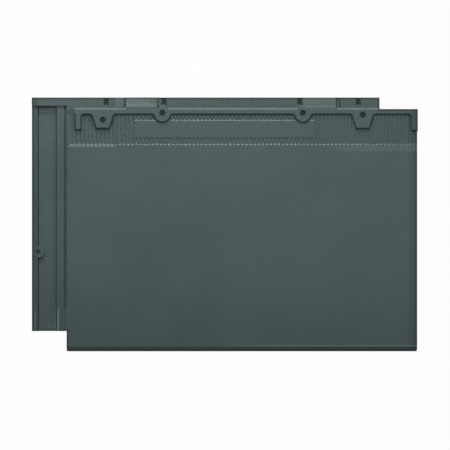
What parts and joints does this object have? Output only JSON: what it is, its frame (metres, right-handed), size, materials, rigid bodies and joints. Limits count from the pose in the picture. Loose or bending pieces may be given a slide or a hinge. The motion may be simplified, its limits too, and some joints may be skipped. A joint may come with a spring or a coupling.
{
  "type": "flat roof tile",
  "caption": "Flat interlocking glazed clay roof tile with side underlap, head rim with nail bosses and lobes, fine grooved strip and dropped nose.",
  "frame": {"origin": "middle of the tile in plan, on the floor under its nibs and nose", "axes": "+X across the roof from the underlap to the overlap, +Y up the roof from the nose to the head, +Z out of the tile's upper face"},
  "size_m": [0.45, 0.2962, 0.027],
  "materials": {
    "glazed_clay": "satin"
  },
  "bodies": {
    "root": {"roof_tile": "glazed_clay"}
  },
  "joints": []
}
